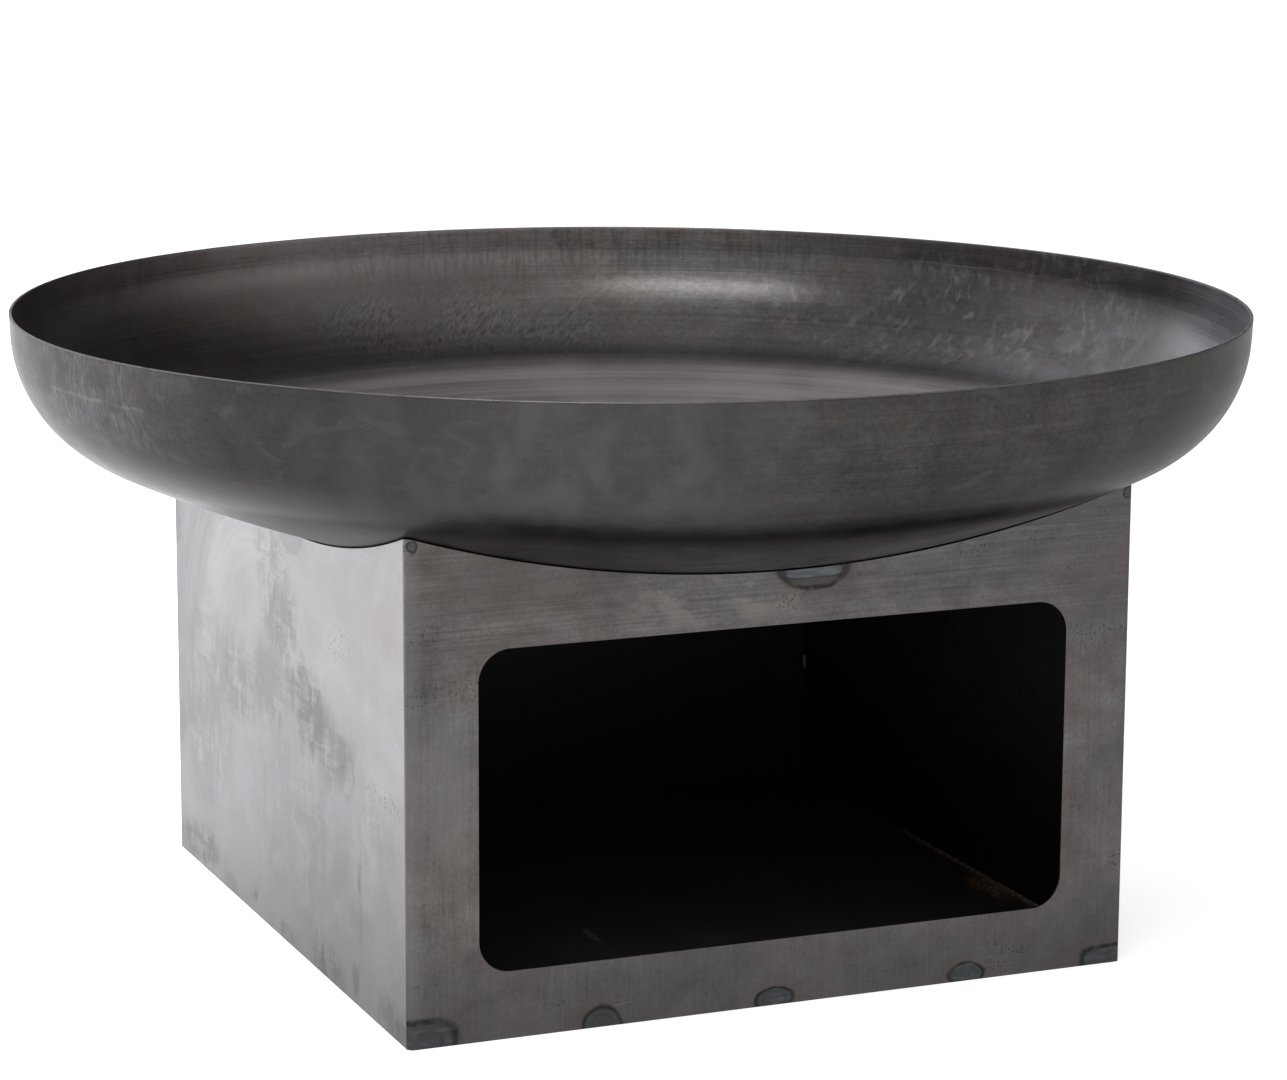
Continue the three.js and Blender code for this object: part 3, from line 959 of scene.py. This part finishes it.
class BowlSkin(Skin):
    """Dark mottled plate with spinning lines around it.

    Its run is (cos, sin, way along the outline): the first two say which way a place faces.
    """

    def __init__(self, name, tones, edge_tint=1.0):
        super().__init__(name, edge_tint=edge_tint)
        x, y, self.z = axes(self.place)
        flat = join(x, y, 0.0)
        self.ray = vector_math("NORMALIZE", flat)
        self.radius = vector_math("LENGTH", flat)
        cos, sin, _ = axes(self.ray)
        self.run = join(cos, sin, add(self.radius, self.z))
        self.clouds = noise(self.place, (110, 110, 55), 5, 0.8, 1.7)
        self.mottle = noise(self.place, (24, 24, 30), 5, 0.5, 4.2)
        fine_rings = noise(self.run, (2.2, 2.2, 1.3), 3)
        broad_rings = noise(self.run, (1.1, 1.1, 11), 5, 0.0, 6.7)
        self.rings = times(add(fine_rings, broad_rings), 0.5)
        self.grain = noise(self.place, 3.0, 5, 0.6)
        light, warm, cool = tones
        self.colour = mix(fade(self.clouds, 0.4, 0.6), light, warm)
        self.paint(cool, fade(self.mottle, 0.48, 0.68, 0.65))
        self.shade(vary((self.clouds, 0.36), (self.mottle, 0.36)))
        self.shade(vary((self.rings, 0.5), (self.grain, 0.4)))

    def facing(self, azimuth, width):
        """1 where the bowl faces an azimuth, fading out at a width from it, both in degrees."""
        toward = (math.cos(math.radians(azimuth)), math.sin(math.radians(azimuth)), 0)
        return fade(vector_math("DOT_PRODUCT", self.ray, toward), math.cos(math.radians(width)), 1.0)


def bowl_outside_steel():
    """The outside, lightened below the wall as a painted reflection of the floor, rubbed on the left, hazy
    with a painted sheen on the front left, with painted light on the left and painted shade on the front
    left and the right.
    """
    tones = (0.049, 0.0465, 0.047), (0.051, 0.047, 0.0445), (0.0455, 0.0455, 0.048)
    skin = BowlSkin("bowl_outside_steel", tones, edge_tint=0.63)
    place, run, z = skin.place, skin.run, skin.z
    hazy = fade(noise(run, (0.09, 0.09, 60), 4, 0.4, 3.7), 0.42, 0.62)
    wall = fade(z, 300, 325)
    # Hazy streaks on the front left, lightened there as a painted sheen.
    haze_and_sheen = times(skin.facing(-121, 28), add(0.4, times(hazy, 0.45)))
    skin.paint((0.085, 0.079, 0.079), haze_and_sheen, wall)
    # Painted shade: a darker band on the wall a little left of the front.
    skin.paint((0.03, 0.029, 0.0295), skin.facing(-143, 22), wall, 0.35)
    # Painted reflection of the floor: the underside below the wall is lightened, most on the front right.
    below = fade(z, 320, 302)
    skin.paint(dim(skin.colour, 2.7), below)
    skin.paint(dim(skin.colour, 1.8), below, skin.facing(-72, 52))
    left = times(skin.facing(-182, 32), wall)
    # Painted light: the left of the wall a little lighter. The same mask places the rubs below.
    skin.paint((0.098, 0.093, 0.1), left, 0.12)
    # Painted reflection: a pale glow low on the left, where the underside mirrors the bright floor.
    skin.paint((0.19, 0.188, 0.196), skin.facing(-185, 62), fade(z, 350, 322, 0.5))
    # Painted shade: the right of the wall darker.
    skin.paint((0.04, 0.034, 0.032), skin.facing(-34, 30), fade(z, 320, 350, 0.35))
    patches = fade(noise(run, (0.06, 0.06, 26), 3, 0.0, 9.1), 0.34, 0.58)
    rubs = noise(run, (0.003, 0.003, 9), 6, 0.0, 2.6)
    rubs = times(fade(rubs, 0.38, 0.7), fade(z, 325, 368))
    skin.paint((0.165, 0.158, 0.167), rubs, left, patches, 0.6)
    scrape = blob(warped(place, 24, 2), (0, 0, 378), (0, 0, 1.1))
    skin.paint((0.17, 0.166, 0.17), fade(scrape, 1.3, 0.3), left, patches, 0.45)
    flecks = specks(warped(place, 6, 3), 7, 0.8)
    skin.paint((0.14, 0.135, 0.135), flecks, fade(skin.mottle, 0.5, 0.6), 0.3)
    smears = fade(noise(place, (34, 34, 16), 5, 1.2, 8.8), 0.54, 0.7, 0.3)
    skin.paint((0.09, 0.086, 0.086), smears)
    rougher = [(skin.mottle, 0.14), (skin.rings, 0.15)]
    return skin.finish(0.22, rougher, [(skin.clouds, 0.5), (skin.grain, 0.03), (skin.rings, 0.012)])


def bowl_inside_steel():
    """The inside, with a crown paler as a painted reflection, strokes on the rear left, smears on the
    right, and painted light and shade on the wall.
    """
    tones = (0.084, 0.079, 0.079), (0.086, 0.078, 0.074), (0.073, 0.072, 0.077)
    skin = BowlSkin("bowl_inside_steel", tones)
    place, run, z = skin.place, skin.run, skin.z
    wall = fade(skin.radius, 322, 352)
    # Painted light: the rear left of the inner wall lighter.
    skin.paint((0.125, 0.112, 0.106), skin.facing(108, 42), wall, 0.4)
    # Painted light: the top band of the rear wall, under the rim, lightened.
    rim_band_light = fade(z, 366, 392, 0.85)
    skin.paint(dim(skin.colour, 2.3), rim_band_light, skin.facing(90, 75))
    # Painted reflection: the crown paler than the wall.
    crown = fade(skin.radius, 350, 324)
    crown_tone = dim((0.32, 0.29, 0.287), vary((skin.rings, 0.9)))
    skin.paint(crown_tone, crown, 0.7)
    # Lighter patches on the crown: partly stains, partly painted reflection.
    stains_and_reflection = fade(noise(place, (90, 70, 60), 6, 0.3, 4.8), 0.42, 0.68)
    skin.paint((0.38, 0.345, 0.33), stains_and_reflection, crown, 0.4)
    # Painted reflection: a dark ring where the crown meets the knuckle.
    dark_reflection_ring = band(skin.radius, 328, 345, 348, 366)
    skin.paint((0.035, 0.035, 0.038), dark_reflection_ring, 0.2)
    leaning = turned(place, -0.75)
    strokes = noise(warped(leaning, 9, 1.5), (1.5, 5, 9), 5, 0.2)
    where = fade(noise(place, 30, 3, 0.0, 8.1), 0.34, 0.56)
    rear_left = times(skin.facing(88, 24), fade(z, 305, 325))
    rear_left = times(rear_left, fade(z, 372, 345), where)
    skin.paint((0.03, 0.028, 0.029), fade(strokes, 0.5, 0.64), rear_left, 0.5)
    skin.paint((0.17, 0.157, 0.15), fade(strokes, 0.47, 0.34), rear_left, 0.4)
    drags = noise(run, (0.007, 0.007, 24), 5, 0.0, 2.6)
    drags = times(fade(drags, 0.44, 0.68), fade(z, 352, 385))
    skin.paint((0.03, 0.029, 0.03), drags, skin.facing(72, 40), 0.35)
    # Painted shade: the rear right of the inner wall darker.
    skin.paint(dim(skin.colour, 0.78), skin.facing(34, 26), wall)
    rear_right = times(skin.facing(26, 34), fade(z, 300, 345))
    smears = fade(noise(place, (8, 8, 13), 6, 0.5, 3.3), 0.48, 0.66)
    cloudy = fade(noise(place, (46, 46, 30), 3, 0.3, 9.9), 0.4, 0.6)
    skin.paint((0.17, 0.162, 0.17), smears, cloudy, rear_right, 0.5)
    # Painted reflection: a pale lilac glow on the right of the inner wall, where it mirrors the bright
    # left.
    skin.paint((0.42, 0.404, 0.446), skin.facing(-29, 31), fade(z, 335, 366, 0.9))
    # Painted reflection: paler cloudy patches low on the right of the inner wall.
    pale = times(skin.facing(8, 20), fade(z, 375, 350))
    pale = times(pale, fade(noise(place, (40, 40, 16), 4, 0.6, 6.1), 0.42, 0.62))
    skin.paint((0.15, 0.146, 0.155), pale, wall, 0.3)
    rust = fade(noise(place, (30, 30, 40), 5, 0.8, 5.5), 0.52, 0.68)
    skin.paint((0.115, 0.08, 0.06), rust, skin.facing(135, 30), wall, 0.35)
    flecks = specks(warped(place, 5, 3), 6.5, 0.8)
    skin.paint((0.22, 0.21, 0.21), flecks, fade(skin.mottle, 0.46, 0.56), 0.3)
    scratch = blob(warped(place, 80, 3), (0, 0, 388), (0, 0, 0.8))
    skin.paint((0.2, 0.19, 0.19), fade(scratch, 1.3, 0.4), skin.facing(31, 9), 0.35)
    rougher = [(skin.mottle, 0.1), (skin.rings, 0.34), (crown, 0.2)]
    return skin.finish(0.08, rougher, [(skin.clouds, 0.5), (skin.grain, 0.03), (skin.rings, 0.02)])


# ---- bar and weld steel

def bar_steel():
    """Thick cut pieces with patches of dark mill scale and a little rust."""
    skin = Skin("bar_steel")
    scale = noise(skin.place, 9, 5, 0.7)
    skin.colour = mix(fade(scale, 0.42, 0.62), (0.05, 0.05, 0.056), (0.12, 0.112, 0.106))
    rust = fade(noise(skin.place, 5, 5, 0.0, 3.0), 0.62, 0.75, 0.7)
    skin.paint((0.12, 0.06, 0.035), rust)
    return skin.finish(0.36, [(scale, 0.25)], [(scale, 0.12)])


def weld_steel():
    """Bare weld metal with straw and blue tempering colours and a little spatter."""
    skin = Skin("weld_steel")
    temper = noise(skin.place, 7, 3, 1.0)
    straw = fade(temper, 0.52, 0.62)
    blue = fade(temper, 0.48, 0.38)
    skin.colour = mix(straw, (0.06, 0.058, 0.056), (0.075, 0.054, 0.036))
    skin.paint((0.03, 0.036, 0.055), blue, 0.8)
    slag = specks(skin.place, 2.1, 0.7)
    skin.paint((0.02, 0.018, 0.018), slag, 0.7)
    return skin.finish(0.25, [(temper, 0.25)], [(temper, 0.15), (slag, 0.1)])


# ---- studio

FLOOR_SIZE = 30.0
FLOOR_GLOW = 0.68
BACK_GLOW = 1.25  # more of it behind the object on the left, where the sweep is lit


def floor_paint():
    """A matt pale floor, a little mottled, bright enough to show as white."""
    skin = Skin("floor_paint", 0.0)
    tone = noise(skin.place, 400, 2)
    skin.colour = mix(tone, (0.56, 0.56, 0.56), (0.6, 0.6, 0.6))
    x, y, _ = axes(skin.place)
    behind = times(fade(y, -200, 500, BACK_GLOW), fade(x, 700, 0))
    skin.shader.inputs["Emission Color"].default_value = (1, 1, 1, 1)
    skin.link(add(behind, FLOOR_GLOW), "Emission Strength")
    return skin.finish(0.85, [(tone, 0.1)], [(tone, 0.1)])


def make_floor(material):
    builder = bmesh.new()
    bmesh.ops.create_grid(builder, x_segments=1, y_segments=1, size=FLOOR_SIZE / 2)
    new_object("studio_floor", builder, [material])


def direction(azimuth, elevation):
    """A unit vector to an azimuth, from +X towards +Y, and an elevation, in degrees."""
    flat, rise = math.radians(azimuth), math.radians(elevation)
    return Vector((math.cos(flat) * math.cos(rise), math.sin(flat) * math.cos(rise), math.sin(rise)))


KEY_TARGET = Vector((0, 0, 0.35))
KEY_WAY = direction(-130, 42)
KEY_DISTANCE = 2.6
KEY_SIZE = (1.45, 0.5)
KEY_POWER = 21


def make_key_light():
    """One soft box from the upper left, which the camera doesn't see."""
    data = bpy.data.lights.new("key_box", "AREA")
    data.shape = "RECTANGLE"
    data.size, data.size_y = KEY_SIZE
    data.energy = KEY_POWER
    light = add_object("key_box", data)
    light.location = KEY_TARGET + KEY_WAY * KEY_DISTANCE
    light.rotation_euler = (-KEY_WAY).to_track_quat("-Z", "Y").to_euler()
    light.visible_camera = False


ROOM = (0.9, 0.895, 0.9)
# Each sweep of the room as its middle, the cosine from there at which it starts, and its light.
BRIGHT_SWEEP = (direction(105, 15), 0.4, (0.5, 0.52, 0.56))
DARK_SWEEP = (direction(28, 30), 0.45, (0.82, 0.82, 0.82))


def sweep_light(tree, toward, start, colour):
    """Light of a colour from the directions around one, from a cosine on."""
    way = new_node("ShaderNodeTexCoord", {}, tree).outputs["Generated"]
    return dim(colour, fade(vector_math("DOT_PRODUCT", way, toward), start, 1.0))


def make_world():
    """White to the camera.  To the steel, a pale room, brighter behind and dark on the rear right."""
    world = bpy.data.worlds.new("studio")
    bpy.context.scene.world = world
    world.use_nodes = True
    tree = world.node_tree
    room = vector_math("ADD", ROOM, sweep_light(tree, *BRIGHT_SWEEP))
    room = vector_math("SUBTRACT", room, sweep_light(tree, *DARK_SWEEP))
    background = tree.nodes["Background"]
    tree.links.new(room, background.inputs["Color"])
    white = new_node("ShaderNodeBackground", {"Color": (1, 1, 1, 1)}, tree)
    to_camera = new_node("ShaderNodeLightPath", {}, tree).outputs["Is Camera Ray"]
    shaders = {0: to_camera, 1: background.outputs[0], 2: white.outputs[0]}
    mixed = new_node("ShaderNodeMixShader", shaders)
    tree.links.new(mixed.outputs[0], tree.nodes["World Output"].inputs["Surface"])


CAMERA_AZIMUTH = -22.649
CAMERA_ELEVATION = 11.419
CAMERA_ROLL = 0.276
CAMERA_PLACE = Vector((-0.9866, -2.3872, 0.7682))
CAMERA_LENS = 112.15


def make_camera():
    data = bpy.data.cameras.new("camera")
    data.lens = CAMERA_LENS
    data.sensor_width = 36
    data.sensor_fit = "HORIZONTAL"
    data.clip_start, data.clip_end = 0.05, 100
    camera = add_object("camera", data)
    back = direction(CAMERA_AZIMUTH - 90, CAMERA_ELEVATION)
    turn = back.to_track_quat("Z", "Y").to_matrix().to_4x4()
    roll = Matrix.Rotation(math.radians(CAMERA_ROLL), 4, "Z")
    camera.matrix_world = Matrix.Translation(CAMERA_PLACE) @ turn @ roll
    bpy.context.scene.camera = camera


# ---- the object

make_bowl([bowl_outside_steel(), bowl_inside_steel(), cut_edge_steel("rim_steel", 0.16)])

inner = inner_sheet_steel()
cut_edge = cut_edge_steel("cut_edge_steel", 0.3)
make_shell(plain_side_steel("front"), left_side_steel(), plain_side_steel("right"), inner, cut_edge)
make_back_sheet(plain_side_steel("back"), inner, cut_edge)
make_floor_sheet(floor_sheet_steel(), inner, cut_edge)

bar = bar_steel()
weld = weld_steel()
for side, corner in zip(SIDES, CORNERS):
    make_tab(side, bar)
    make_tab_bead(side, weld)
    make_gusset(corner, side, bar)
    make_spot(corner, weld)
    make_floor_beads(side, weld)
make_seam_beads("left", -1, weld)
make_seam_beads("right", 1, weld)

# ---- the picture

make_floor(floor_paint())
make_world()
make_camera()
make_key_light()
bpy.context.scene.view_settings.view_transform = "Standard"
